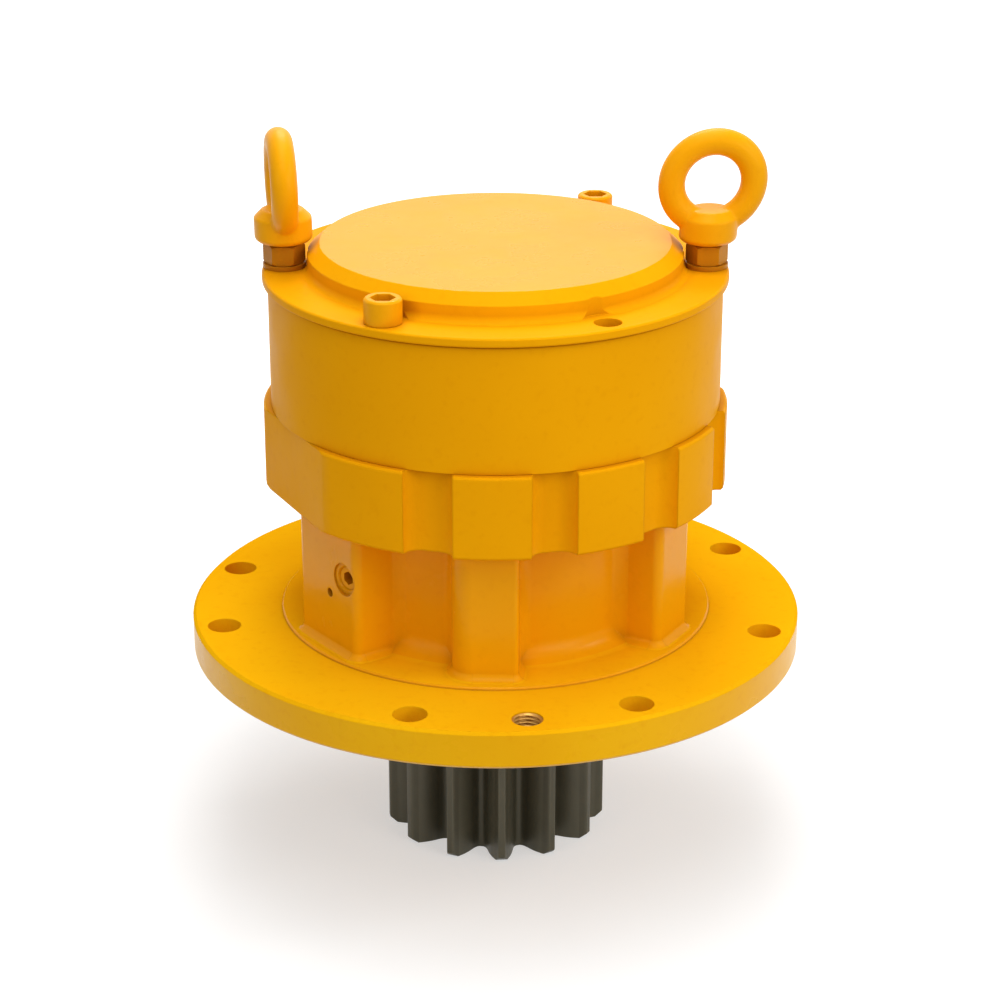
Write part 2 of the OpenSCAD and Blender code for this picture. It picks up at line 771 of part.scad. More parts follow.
// One roller, or with a gap the pocket that it turns in
module roller(bore, cup, w, gap = 0) {
    slant = roller_slant(bore, cup);
    half_l = roller_l(w) / 2 + gap;
    taper = tan(roller_taper(bore, cup));
    translate([roller_mid_r(bore, cup), 0, 0])
        rotate([0, -roller_tilt, 0])
            translate([0, 0, -half_l])
                cylinder(h = 2 * half_l, r1 = (slant + half_l) * taper + gap,
                    r2 = (slant - half_l) * taper + gap, $fn = 48);
}
module bearing_rollers(bore, cup, w) {
    for (i = [0 : roller_n - 1])
        rotate([0, 0, 360 / roller_n * i])
            roller(bore, cup, w);
}
cage_t = 2.4;
cage_gap = 0.25;
module bearing_cage(bore, cup, w) {
    half_h = roller_l(w) / 2 * cos(roller_tilt) + 3;
    low_r = roller_mid_r(bore, cup) + half_h * tan(roller_tilt) + 0.8;
    high_r = roller_mid_r(bore, cup) - half_h * tan(roller_tilt) + 0.8;
    difference() {
        rotate_extrude()
            polygon([[low_r, -half_h], [low_r + cage_t, -half_h],
                [high_r + cage_t, half_h], [high_r, half_h]]);
        for (i = [0 : roller_n - 1])
            rotate([0, 0, 360 / roller_n * i])
                roller(bore, cup, w, cage_gap);
    }
}
low_mid = low_z + low_w / 2;
up_mid = up_z + up_w / 2;
module low_place() {
    translate([0, 0, low_mid])
        children();
}
module up_place() {
    translate([0, 0, up_mid])
        mirror([0, 0, 1])
            children();
}
module lower_bearing_cup() {
    color(bearing_steel)
    low_place()
        bearing_cup(shaft_r + seat_gap, low_cup_r, low_w);
}
module lower_bearing_cone() {
    color(bearing_steel)
    low_place()
        bearing_cone(shaft_r + seat_gap, low_cup_r, low_w);
}
module lower_bearing_rollers() {
    color(bright_steel)
    low_place()
        bearing_rollers(shaft_r + seat_gap, low_cup_r, low_w);
}
module lower_bearing_cage() {
    color(bearing_steel)
    low_place()
        bearing_cage(shaft_r + seat_gap, low_cup_r, low_w);
}
module upper_bearing_cup() {
    color(bearing_steel)
    up_place()
        bearing_cup(shaft_top_r + seat_gap, up_cup_r, up_w);
}
module upper_bearing_cone() {
    color(bearing_steel)
    up_place()
        bearing_cone(shaft_top_r + seat_gap, up_cup_r, up_w);
}
module upper_bearing_rollers() {
    color(bright_steel)
    up_place()
        bearing_rollers(shaft_top_r + seat_gap, up_cup_r, up_w);
}
module upper_bearing_cage() {
    color(bearing_steel)
    up_place()
        bearing_cage(shaft_top_r + seat_gap, up_cup_r, up_w);
}

// Seal carrier, seal and collar
plate_t = 10;
seal_circle_inset = 11;
plate_inset = 11;
plate_top = -spigot_h;
plate_low = plate_top - plate_t;
neck_top = low_z + low_w / 7;
seal_circle_r = low_cup_r + seal_circle_inset;
plate_r = seal_circle_r + plate_inset;
seal_r = collar_r + seal_w;
seal_screw_angles = [for (i = [0 : seal_screw_n - 1]) 360 / seal_screw_n * (i + 0.5)];
seal_screw_bite = 16;
collar_low = -22;
carrier_neck_t = 5;
carrier_neck_in_r = low_cup_r - carrier_neck_t;
collar_room_w = 2;
seal_low = plate_low + edge;
seal_end_room = 2;
groove_r = 2;
groove_h = 3.2;
groove_low = plate_top + 2.5;
carrier_o_ring_r = 0.95;
module seal_carrier() {
    color(paint)
    difference() {
        union() {
            translate([0, 0, plate_low + edge])
                cylinder(h = plate_t - edge, r = plate_r);
            translate([0, 0, plate_low])
                cylinder(h = edge, r1 = plate_r - edge, r2 = plate_r);
            translate([0, 0, plate_top])
                cylinder(h = neck_top - plate_top, r = low_cup_r - seat_gap);
        }
        translate([0, 0, plate_low - cut])
            cylinder(h = edge + 2 * cut, r = collar_r + collar_room_w);
        translate([0, 0, seal_low])
            cylinder(h = seal_h + seal_end_room + cut, r = seal_r + seat_gap);
        translate([0, 0, seal_low + seal_h + seal_end_room])
            cylinder(h = neck_top + plate_t + spigot_h, r = carrier_neck_in_r);
        around(seal_circle_r, seal_screw_angles, plate_low - cut)
            cylinder(h = plate_t + 2 * cut, r = m8_r + screw_room);
        translate([0, 0, groove_low])
            rotate_extrude()
                translate([low_cup_r - groove_r, 0])
                    square([groove_r + cut, groove_h]);
    }
}
module seal_carrier_o_ring() {
    color(black_rubber)
    translate([0, 0, groove_low + groove_h / 2])
        rotate_extrude()
            translate([low_cup_r - groove_r / 2, 0])
                circle(r = carrier_o_ring_r, $fn = 24);
}
module seal_carrier_screws() {
    color(dark_steel)
    around(seal_circle_r, seal_screw_angles, plate_low)
        mirror([0, 0, 1])
            socket_screw(m8_r, plate_t + seal_screw_bite - tap_room, m8_head_r,
                m8_head_h, m8_key);
}
lip_gap = 0.1;
module output_oil_seal() {
    lip_r = collar_r + lip_gap;
    mid = seal_h / 2;
    color(black_rubber)
    translate([0, 0, seal_low])
        rotate_extrude()
            polygon([[seal_r, 0], [seal_r, seal_h], [seal_r - 3, seal_h], [seal_r - 3, 3],
                [lip_r + 6, 3], [lip_r + 4, seal_h - 1], [lip_r + 2, seal_h - 1],
                [lip_r, mid + 1], [lip_r + 1, mid - 1], [lip_r + 3, 2], [lip_r, 0.6],
                [lip_r + 1, 0]]);
}
module seal_collar() {
    color(bright_steel)
    translate([0, 0, collar_low])
        difference() {
            chamfered_round(collar_r, low_z - collar_low, edge);
            translate([0, 0, -cut])
                cylinder(h = low_z - collar_low + 2 * cut, r = shaft_r + seat_gap);
        }
}

// Pinion and shaft in one forging
pinion_pitch_r = pinion_module * pinion_teeth / 2;
pinion_tip_r = pinion_pitch_r + pinion_module;
pinion_low = -pinion_reach;
pinion_high = pinion_low + pinion_w;
front_tooth = 3.3;
pinion_turn = front_tooth + front;
pinion_flank_steps = 6;
shoulder_r = collar_r - collar_room_w;
pinion_dedendum = 1.25 * pinion_module;
pinion_backlash = 0.2;
pinion_bevel_slope = 1.2;
centre_bore_l = 30;
centre_cone_l = 6;
spacer_h = 4;
shaft_step_z = up_z - spacer_h;
hub_z = up_top;
shaft_spline_teeth = 24;
shaft_spline_root = 4.5;
shaft_spline_tip = 1.5;
shaft_spline_low = shaft_top_r - shaft_spline_root;
shaft_spline_high = shaft_top_r - shaft_spline_tip;
plate_2_drop = 16;
plate_2_z = housing_h - plate_2_drop;
hub_lip = 4;
end_plate_z = plate_2_z + hub_lip;
centre_hole_r = 6;
module pinion_shaft() {
    color(dark_steel)
    difference() {
        union() {
            intersection() {
                translate([0, 0, pinion_low])
                    rotate([0, 0, pinion_turn])
                        linear_extrude(height = pinion_w)
                            polygon(tooth_outline(pinion_module, pinion_teeth,
                                pinion_module, pinion_dedendum, -pinion_backlash,
                                pinion_flank_steps));
                pinion_envelope();
            }
            translate([0, 0, pinion_high - cut])
                cylinder(h = collar_low - pinion_high + cut, r = shoulder_r);
            translate([0, 0, collar_low - cut])
                cylinder(h = shaft_step_z - collar_low + cut, r = shaft_r);
            translate([0, 0, shaft_step_z - cut])
                cylinder(h = hub_z - shaft_step_z + cut, r = shaft_top_r);
            translate([0, 0, hub_z - cut])
                linear_extrude(height = end_plate_z - hub_z + cut - side_gap)
                    spline(shaft_spline_teeth, shaft_spline_low, shaft_spline_high);
        }
        translate([0, 0, pinion_low - cut])
            cylinder(h = centre_bore_l, r = centre_hole_r);
        translate([0, 0, pinion_low - cut])
            cylinder(h = centre_cone_l, r1 = 2 * centre_hole_r, r2 = centre_hole_r);
        around(end_bolt_circle_r, end_bolt_angles, end_plate_z - end_bolt_bite)
            cylinder(h = end_bolt_bite + cut, r = m10_r + thread_gap);
    }
}
module pinion_envelope() {
    translate([0, 0, pinion_low]) {
        cylinder(h = pinion_chamfer, r1 = pinion_tip_r - pinion_chamfer * pinion_bevel_slope,
            r2 = pinion_tip_r);
        translate([0, 0, pinion_chamfer])
            cylinder(h = pinion_w - 2 * pinion_chamfer, r = pinion_tip_r);
        translate([0, 0, pinion_w - pinion_chamfer])
            cylinder(h = pinion_chamfer, r1 = pinion_tip_r,
                r2 = pinion_tip_r - pinion_chamfer * pinion_bevel_slope);
    }
}
module preload_spacer() {
    color(bright_steel)
    translate([0, 0, shaft_step_z])
        ring(shaft_r, shaft_top_r + seat_gap, spacer_h + up_w / 10);
}

// Second stage
plate_2_t = 18;
plate_2_room = 4;
plate_2_r = ring_tip_r - plate_2_room;
plate_2_top = plate_2_z + plate_2_t;
hub_t = 9;
hub_r = shaft_top_r + hub_t;
gears_2_z = plate_2_top + washer_2_t + side_gap;
upper_2_z = gears_2_z + planet_2_w + side_gap + washer_2_t;
upper_2_t = 9;
upper_2_top = upper_2_z + upper_2_t;
web_gap = 2.5;
sun_2_room = 3;
m10_r = 5;
end_bolt_circle_r = 24;
end_bolt_angles = [0, 120, 240];
end_bolt_bite = 26;
end_plate_t = 6;
end_head_h = 6.5;
end_head_r = 8;
end_key = 8;
end_plate_r = shaft_top_r + hub_lip;
planet_2_angles = [for (i = [0 : planet_2_n - 1]) 360 / planet_2_n * i];
planet_1_angles = [for (i = [0 : planet_1_n - 1]) 360 / planet_1_n * i];
lock_2_r = 3;
washer_2_r = pin_2_r + 2 * needle_2_r + 6;
// Places of the planets, as plain angles from +X
module planets(r, angles, z) {
    for (a = angles)
        rotate([0, 0, a])
            translate([r, 0, z])
                children();
}
module carrier_2() {
    color(dark_steel)
    difference() {
        union() {
            translate([0, 0, hub_z])
                cylinder(h = plate_2_z - hub_z + cut, r = hub_r);
            translate([0, 0, plate_2_z])
                cylinder(h = plate_2_t, r = plate_2_r);
            translate([0, 0, upper_2_z])
                cylinder(h = upper_2_t, r = plate_2_r);
            difference() {
                translate([0, 0, plate_2_top - cut])
                    cylinder(h = upper_2_z - plate_2_top + 2 * cut, r = plate_2_r);
                translate([0, 0, plate_2_top - 2 * cut]) {
                    cylinder(h = upper_2_z, r = centre_2);
                    planets(centre_2, planet_2_angles, 0)
                        cylinder(h = upper_2_z, r = tip_r(planet_2_teeth) + web_gap);
                }
            }
        }
        translate([0, 0, hub_z - cut])
            linear_extrude(height = end_plate_z - hub_z + 2 * cut)
                spline(shaft_spline_teeth, shaft_spline_low, shaft_spline_high, true);
        translate([0, 0, end_plate_z])
            cylinder(h = plate_2_t, r = end_plate_r + screw_room);
        translate([0, 0, upper_2_z - cut])
            cylinder(h = upper_2_t + 2 * cut, r = tip_r(sun_2_teeth) + sun_2_room);
        planets(centre_2, planet_2_angles, pin_2_low)
            cylinder(h = upper_2_top - pin_2_low + cut, r = pin_2_r + seat_gap);
        lock_pins_2(lock_2_r + seat_gap, plate_2_r + cut);
    }
}
pin_2_floor = 2;
pin_2_sink = 0.5;
pin_2_low = plate_2_z + pin_2_floor;
pin_2_high = upper_2_top - pin_2_sink;
module lock_pins_2(r, end) {
    start = centre_2 - pin_2_r / 2;
    for (a = planet_2_angles)
        rotate([0, 0, a])
            translate([start, 0, plate_2_z + plate_2_t / 2])
                rotate([0, 90, 0])
                    cylinder(h = end - start, r = r, $fn = 32);
}
module carrier_2_pins() {
    color(bright_steel)
    difference() {
        planets(centre_2, planet_2_angles, pin_2_low)
            cylinder(h = pin_2_high - pin_2_low, r = pin_2_r);
        lock_pins_2(lock_2_r + seat_gap, plate_2_r + cut);
    }
}
module carrier_2_lock_pins() {
    color(bright_steel)
    lock_pins_2(lock_2_r, plate_2_r - edge);
}
module planet_2_washers() {
    color(bronze)
    planets(centre_2, planet_2_angles, 0) {
        translate([0, 0, plate_2_top])
            ring(washer_2_r, pin_2_r + side_gap, washer_2_t);
        translate([0, 0, upper_2_z - washer_2_t])
            ring(washer_2_r, pin_2_r + side_gap, washer_2_t);
    }
}
module shaft_end_plate() {
    color(bright_steel)
    translate([0, 0, end_plate_z])
        difference() {
            cylinder(h = end_plate_t, r = end_plate_r);
            around(end_bolt_circle_r, end_bolt_angles, -cut)
                cylinder(h = end_plate_t + 2 * cut, r = m10_r + screw_room);
        }
}
module shaft_end_bolts() {
    color(dark_steel)
    around(end_bolt_circle_r, end_bolt_angles, end_plate_z + end_plate_t)
        socket_screw(m10_r, end_plate_t + end_bolt_bite - tap_room, end_head_r,
            end_head_h, end_key);
}
module stage_thrust_ring() {
    color(bronze)
    translate([0, 0, upper_2_top])
        ring(thrust_in_r + thrust_w, thrust_in_r, stage_gap - side_gap);
}

// Planet gear with a bore for its needles, and the needles
module planet_gear(teeth, w, bore_r, a, centre, z) {
    rotate([0, 0, a])
        translate([centre, 0, z])
            rotate([0, 0, planet_phase(a, teeth) - a])
                difference() {
                    linear_extrude(height = w)
                        gear_outline(teeth);
                    translate([0, 0, -cut])
                        cylinder(h = w + 2 * cut, r = bore_r);
                }
}
needle_gap = 0.04;
function needle_bore(pin, needle) = pin + 2 * needle + 2 * needle_gap;
function needle_n(pin, needle) = floor(180 / asin((needle + needle_gap) / (pin + needle)));
module needles(pin, needle, w, a, centre, z) {
    inset = 1;
    n = needle_n(pin, needle);
    rotate([0, 0, a])
        translate([centre, 0, z + inset])
            for (i = [0 : n - 1])
                rotate([0, 0, 360 / n * i])
                    translate([pin + needle + needle_gap, 0, 0])
                        cylinder(h = w - 2 * inset, r = needle, $fn = 32);
}
module planet_gear_2(i) {
    color(bearing_steel)
    planet_gear(planet_2_teeth, planet_2_w, needle_bore(pin_2_r, needle_2_r),
        planet_2_angles[i], centre_2, gears_2_z);
}
module needle_rollers_2(i) {
    color(bright_steel)
    needles(pin_2_r, needle_2_r, planet_2_w, planet_2_angles[i], centre_2, gears_2_z);
}

// First stage
stage_gap = 2;
thrust_in_r = tip_r(sun_2_teeth) + 6;
thrust_w = 10;
plate_1_z = upper_2_top + stage_gap;
plate_1_t = 10;
plate_1_top = plate_1_z + plate_1_t;
plate_1_room = 6;
plate_1_r = ring_tip_r - plate_1_room;
gears_1_z = plate_1_top + washer_1_t + side_gap;
gears_1_top = gears_1_z + planet_1_w;
clip_t = 1.5;
clip_z = gears_1_top + side_gap + washer_1_t;
pin_1_high = clip_z + clip_t + edge;
clip_sink = 1;
lock_1_r = 2.5;
carrier_spline_teeth = 18;
sun_spline_depth = 3;
sun_spline_high = root_r(sun_2_teeth);
sun_spline_low = sun_spline_high - sun_spline_depth;
sun_nose_r = sun_spline_low - 0.5;
clip_w = 2.5;
washer_1_r = pin_1_r + 2 * needle_1_r + 5;
module lock_pins_1(r, end) {
    start = centre_1 - pin_1_r / 2;
    for (a = planet_1_angles)
        rotate([0, 0, a])
            translate([start, 0, plate_1_z + plate_1_t / 2])
                rotate([0, 90, 0])
                    cylinder(h = end - start, r = r, $fn = 32);
}
module carrier_1() {
    color(dark_steel)
    difference() {
        translate([0, 0, plate_1_z])
            cylinder(h = plate_1_t, r = plate_1_r);
        translate([0, 0, plate_1_z - cut])
            linear_extrude(height = plate_1_t + 2 * cut)
                spline(carrier_spline_teeth, sun_spline_low, sun_spline_high, true);
        planets(centre_1, planet_1_angles, plate_1_z - cut)
            cylinder(h = plate_1_t + 2 * cut, r = pin_1_r + seat_gap);
        lock_pins_1(lock_1_r + seat_gap, plate_1_r + cut);
    }
}
module carrier_1_pins() {
    color(bright_steel)
    difference() {
        planets(centre_1, planet_1_angles, plate_1_z)
            cylinder(h = pin_1_high - plate_1_z, r = pin_1_r);
        lock_pins_1(lock_1_r + seat_gap, plate_1_r + cut);
        planets(centre_1, planet_1_angles, clip_z)
            ring(pin_1_r + cut, pin_1_r - clip_sink, clip_t);
    }
}
module carrier_1_lock_pins() {
    color(bright_steel)
    lock_pins_1(lock_1_r, plate_1_r - edge);
}
module planet_1_washers() {
    color(bronze)
    planets(centre_1, planet_1_angles, 0) {
        translate([0, 0, plate_1_top])
            ring(washer_1_r, pin_1_r + side_gap, washer_1_t);
        translate([0, 0, clip_z - washer_1_t])
            ring(washer_1_r, pin_1_r + side_gap, washer_1_t);
    }
}
module carrier_1_pin_clips() {
    color(dark_steel)
    planets(centre_1, planet_1_angles, clip_z + seat_gap)
        open_ring(pin_1_r + clip_w, pin_1_r - clip_sink + seat_gap, clip_t - 2 * seat_gap);
}
module open_ring(outer, inner, h) {
    difference() {
        ring(outer, inner, h);
        translate([0, -inner / 4, -cut])
            cube([outer + cut, inner / 2, h + 2 * cut]);
    }
}
module sun_gear_2() {
    color(bearing_steel)
    difference() {
        union() {
            translate([0, 0, gears_2_z - washer_2_t])
                rotate([0, 0, sun_phase(sun_2_teeth, planet_2_teeth)])
                    linear_extrude(height = planet_2_w + 2 * washer_2_t)
                        gear_outline(sun_2_teeth);
            translate([0, 0, sun_2_neck_z])
                cylinder(h = plate_1_z - sun_2_neck_z, r = sun_spline_high + edge);
            translate([0, 0, plate_1_z - cut])
                linear_extrude(height = plate_1_t + cut)
                    spline(carrier_spline_teeth, sun_spline_low, sun_spline_high);
            translate([0, 0, plate_1_top - cut])
                cylinder(h = sun_2_nose + cut, r = sun_nose_r);
        }
        translate([0, 0, plate_1_top + seat_gap])
            ring(sun_spline_low + cut, sun_nose_r - clip_sink, clip_t);
    }
}
sun_2_nose = clip_t + edge;
sun_2_neck_z = gears_2_z + planet_2_w + side_gap;
module sun_gear_2_clip() {
    color(dark_steel)
    translate([0, 0, plate_1_top + 2 * seat_gap])
        open_ring(sun_spline_high + clip_w, sun_nose_r - clip_sink + seat_gap,
            clip_t - 2 * seat_gap);
}
module planet_gear_1(i) {
    color(bearing_steel)
    planet_gear(planet_1_teeth, planet_1_w, needle_bore(pin_1_r, needle_1_r),
        planet_1_angles[i], centre_1, gears_1_z);
}
module needle_rollers_1(i) {
    color(bright_steel)
    needles(pin_1_r, needle_1_r, planet_1_w, planet_1_angles[i], centre_1, gears_1_z);
}

// Input sun, with the splined socket for the motor's shaft
sun_1_z = plate_1_top + sun_2_nose + side_gap;
socket_teeth = 14;
socket_low = 15;
socket_high = 17.5;
sun_1_hub_r = root_r(sun_1_teeth) - sun_spline_depth;
socket_floor = 4;
sun_1_hub_h = 12;
module sun_gear_1() {
    teeth_h = gears_1_top - sun_1_z;
    color(bearing_steel)
    translate([0, 0, sun_1_z])
        difference() {
            union() {
                rotate([0, 0, sun_phase(sun_1_teeth, planet_1_teeth)])
                    linear_extrude(height = teeth_h)
                        gear_outline(sun_1_teeth);
                translate([0, 0, teeth_h - cut])
                    chamfered_round(sun_1_hub_r, sun_1_hub_h + cut, edge);
            }
            translate([0, 0, socket_floor])
                linear_extrude(height = teeth_h + sun_1_hub_h)
                    spline(socket_teeth, socket_low, socket_high, true);
        }
}

lower_housing();
ring_gear();
top_cover();
cover_screws();
eye_bolt_left();
eye_bolt_right();
eye_bolt_nuts();
eye_bolt_washers();
drain_plug();
ring_gear_bolts();
dowel_pins();
cover_o_ring();
lower_bearing_cup();
upper_bearing_cup();
output_oil_seal();
seal_carrier();
seal_carrier_screws();
seal_carrier_o_ring();
pinion_shaft();
seal_collar();
lower_bearing_cone();
preload_spacer();
upper_bearing_cone();
carrier_2();
carrier_2_pins();
carrier_2_lock_pins();
planet_2_washers();
shaft_end_plate();
shaft_end_bolts();
stage_thrust_ring();
lower_bearing_rollers();
lower_bearing_cage();
upper_bearing_rollers();
upper_bearing_cage();
planet_gear_2(0);  // planet_gear_2a
planet_gear_2(1);  // planet_gear_2b
planet_gear_2(2);  // planet_gear_2c
planet_gear_2(3);  // planet_gear_2d
needle_rollers_2(0);  // needle_rollers_2a
needle_rollers_2(1);  // needle_rollers_2b
needle_rollers_2(2);  // needle_rollers_2c
needle_rollers_2(3);  // needle_rollers_2d
carrier_1();
carrier_1_pins();
carrier_1_lock_pins();
planet_1_washers();
carrier_1_pin_clips();
sun_gear_2();
sun_gear_2_clip();
planet_gear_1(0);  // planet_gear_1a
planet_gear_1(1);  // planet_gear_1b
planet_gear_1(2);  // planet_gear_1c
needle_rollers_1(0);  // needle_rollers_1a
needle_rollers_1(1);  // needle_rollers_1b
needle_rollers_1(2);  // needle_rollers_1c
sun_gear_1();
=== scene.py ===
# Looks of the swing gearbox: enamel on castings and machined faces, dark steel and round tooth
# roots on the pinion, forged lifting eyes, tapped threads, light and camera.
# Lengths are metres, in the part's frame.
import json
import math

import bmesh
import bpy
from mathutils import Matrix, Vector

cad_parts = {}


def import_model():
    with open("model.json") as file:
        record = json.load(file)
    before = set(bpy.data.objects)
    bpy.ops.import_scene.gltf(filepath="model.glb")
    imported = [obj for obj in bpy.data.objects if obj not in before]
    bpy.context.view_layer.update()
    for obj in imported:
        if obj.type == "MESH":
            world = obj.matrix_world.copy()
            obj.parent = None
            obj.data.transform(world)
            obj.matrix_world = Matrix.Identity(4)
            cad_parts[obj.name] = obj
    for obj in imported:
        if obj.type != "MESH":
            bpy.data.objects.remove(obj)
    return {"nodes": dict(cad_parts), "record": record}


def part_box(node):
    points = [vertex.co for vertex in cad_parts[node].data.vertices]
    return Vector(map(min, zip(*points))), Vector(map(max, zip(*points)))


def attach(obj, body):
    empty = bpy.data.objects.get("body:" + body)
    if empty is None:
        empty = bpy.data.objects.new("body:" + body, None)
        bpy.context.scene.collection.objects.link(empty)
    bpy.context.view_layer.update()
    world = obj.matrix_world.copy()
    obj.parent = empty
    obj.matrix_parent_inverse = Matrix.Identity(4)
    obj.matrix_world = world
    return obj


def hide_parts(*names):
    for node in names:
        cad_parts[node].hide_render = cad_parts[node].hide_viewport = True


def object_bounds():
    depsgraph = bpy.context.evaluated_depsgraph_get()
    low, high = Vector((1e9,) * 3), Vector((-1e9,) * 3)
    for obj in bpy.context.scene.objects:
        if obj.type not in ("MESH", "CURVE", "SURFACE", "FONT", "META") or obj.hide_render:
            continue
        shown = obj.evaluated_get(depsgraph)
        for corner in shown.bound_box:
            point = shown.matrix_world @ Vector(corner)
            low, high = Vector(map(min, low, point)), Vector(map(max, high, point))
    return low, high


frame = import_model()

MM = 0.001
cad_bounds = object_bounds()
collection = bpy.context.scene.collection

# Colours, as linear values
ENAMEL = (0.905, 0.395, 0.0022)
ENAMEL_DEEP = (0.800, 0.310, 0.0010)
# A lighter copy of the enamel: painted light for the flange and its rim
ENAMEL_PAINTED_LIGHT = (0.920, 0.475, 0.004)
# A darker brown copy of the enamel: painted shade for the nuts and washers under the eye collars
ENAMEL_PAINTED_SHADE = (0.480, 0.190, 0.008)
# Painted shade: the deep brown that the enamel darkens to in corners
CORNER_PAINTED_SHADE = (0.30, 0.085, 0.002)
PINION_STEEL = (0.088, 0.081, 0.051)
# Painted highlight: the lighter colour of the pinion's outer edges
PINION_PAINTED_HIGHLIGHT = (0.17, 0.158, 0.11)


def linked(obj):
    """Puts a new object into the scene."""
    collection.objects.link(obj)
    return obj


# Materials


class Nodes:
    """Short forms for the nodes that the materials share."""

    def __init__(self, name):
        self.material = bpy.data.materials.new(name)
        self.material.use_nodes = True
        self.tree = self.material.node_tree
        self.shader = self.tree.nodes["Principled BSDF"]
        self.coords = self.tree.nodes.new("ShaderNodeTexCoord")

    def new(self, kind, **settings):
        node = self.tree.nodes.new("ShaderNode" + kind)
        for key, value in settings.items():
            setattr(node, key, value)
        return node

    def join(self, source, target):
        self.tree.links.new(source, target)

    def set(self, **values):
        """Constant values on the shader's own sockets."""
        for key, value in values.items():
            self.shader.inputs[key.replace("_", " ")].default_value = value

    def noise(self, scale, detail=3.0, stretch=(1, 1, 1)):
        """Grey noise in the object's own coordinates. scale counts features in a metre."""
        mapping = self.new("Mapping")
        mapping.inputs["Scale"].default_value = stretch
        texture = self.new("TexNoise")
        texture.inputs["Scale"].default_value = scale
        texture.inputs["Detail"].default_value = detail
        self.join(self.coords.outputs["Object"], mapping.inputs["Vector"])
        self.join(mapping.outputs["Vector"], texture.inputs["Vector"])
        return texture.outputs["Fac"]

    def ranged(self, value, low, high, new_low, new_high):
        """A value moved from one range into another, and kept inside it."""
        node = self.new("MapRange")
        for name, number in (("From Min", low), ("From Max", high),
                             ("To Min", new_low), ("To Max", new_high)):
            node.inputs[name].default_value = number
        self.join(value, node.inputs["Value"])
        return node.outputs["Result"]

    def mixed(self, factor, first, second):
        """Two colours mixed. Each is a colour or a socket."""
        node = self.new("Mix", data_type="RGBA")
        self.join(factor, node.inputs["Factor"])
        for name, colour in (("A", first), ("B", second)):
            socket = [s for s in node.inputs if s.name == name and s.type == "RGBA"][0]
            if isinstance(colour, tuple):
                socket.default_value = (*colour, 1)
            else:
                self.join(colour, socket)
        return [s for s in node.outputs if s.type == "RGBA"][0]

    def bumped(self, height, depth, strength=1.0, under=None):
        """Relief of the given depth, on top of the relief that under holds."""
        node = self.new("Bump")
        node.inputs["Strength"].default_value = strength
        node.inputs["Distance"].default_value = depth
        self.join(height, node.inputs["Height"])
        if under:
            self.join(under, node.inputs["Normal"])
        return node.outputs["Normal"]

    def painted_shade_mask(self, reach):
        """1 in corners narrower than reach, 0 in the open; the mask of the painted shade in
        corners.
        """
        node = self.new("AmbientOcclusion", samples=8)
        node.inputs["Distance"].default_value = reach
        return self.ranged(node.outputs["AO"], 0.35, 0.9, 1, 0)

    def rounding(self, radius):
        """The surface's normal, as if its edges were rounded."""
        node = self.new("Bevel", samples=4)
        node.inputs["Radius"].default_value = radius
        return node.outputs["Normal"]

    def edge(self, low=0.52, high=0.6):
        """1 on outer edges, 0 elsewhere; the mask of the painted edge highlight on steel."""
        return self.ranged(self.new("NewGeometry").outputs["Pointiness"], low, high, 0, 1)


def enamel(name, roughness=0.38, specular=0.02, tint=(1, 0.65, 0.15), grain=0.0, edges=0.0,
           coat=ENAMEL):
    """Machinery enamel: a slow drift of colour, painted shade in the corners, orange peel, and
    below it the relief of the casting, whose depth is grain. edges is the radius of its outer
    edges."""
    nodes = Nodes(name)
    drift = nodes.ranged(nodes.noise(9, 2), 0.35, 0.65, 0, 0.25)
    paint = nodes.mixed(drift, coat, ENAMEL_DEEP)
    specks = nodes.ranged(nodes.noise(170, 4), 0.55, 0.75, 0, 0.3)
    paint = nodes.mixed(specks, paint, ENAMEL_DEEP)
    # Painted shade: the paint darkens towards a deep brown in corners narrower than 12 mm
    paint = nodes.mixed(nodes.ranged(nodes.painted_shade_mask(12 * MM), 0, 1, 0, 0.55), paint, CORNER_PAINTED_SHADE)
    nodes.join(paint, nodes.shader.inputs["Base Color"])
    gloss = nodes.ranged(nodes.noise(38, 4), 0.3, 0.7, roughness - 0.06, roughness + 0.07)
    nodes.join(gloss, nodes.shader.inputs["Roughness"])
    under = nodes.rounding(edges) if edges else None
    relief = nodes.bumped(nodes.noise(420, 2), 0.05 * MM, 0.5, under=under)
    if grain:
        relief = nodes.bumped(nodes.noise(130, 5), grain, 0.6, under=relief)
    nodes.join(relief, nodes.shader.inputs["Normal"])
    nodes.set(Specular_IOR_Level=specular, Specular_Tint=(*tint, 1))
    return nodes.material


def steel(name, colour, roughness, edge_highlight=None, metallic=1.0, specular=0.5, lay=(1, 1, 14)):
    """Bare steel with fine machining marks along lay, and outer edges lightened as a painted
    highlight when a highlight colour is given.
    """
    nodes = Nodes(name)
    dark = tuple(0.8 * c for c in colour)
    tone = nodes.mixed(nodes.ranged(nodes.noise(60, 4), 0.3, 0.7, 0, 1), colour, dark)
    # Painted highlight: outer edges lightened towards the highlight colour
    if edge_highlight:
        tone = nodes.mixed(nodes.edge(), tone, edge_highlight)
    nodes.join(tone, nodes.shader.inputs["Base Color"])
    marks = nodes.noise(260, 3, stretch=lay)
    gloss = nodes.ranged(marks, 0.3, 0.7, roughness - 0.07, roughness + 0.07)
    nodes.join(gloss, nodes.shader.inputs["Roughness"])
    nodes.join(nodes.bumped(marks, 0.03 * MM, 0.35), nodes.shader.inputs["Normal"])
    nodes.set(Metallic=metallic, Specular_IOR_Level=specular)
    return nodes.material


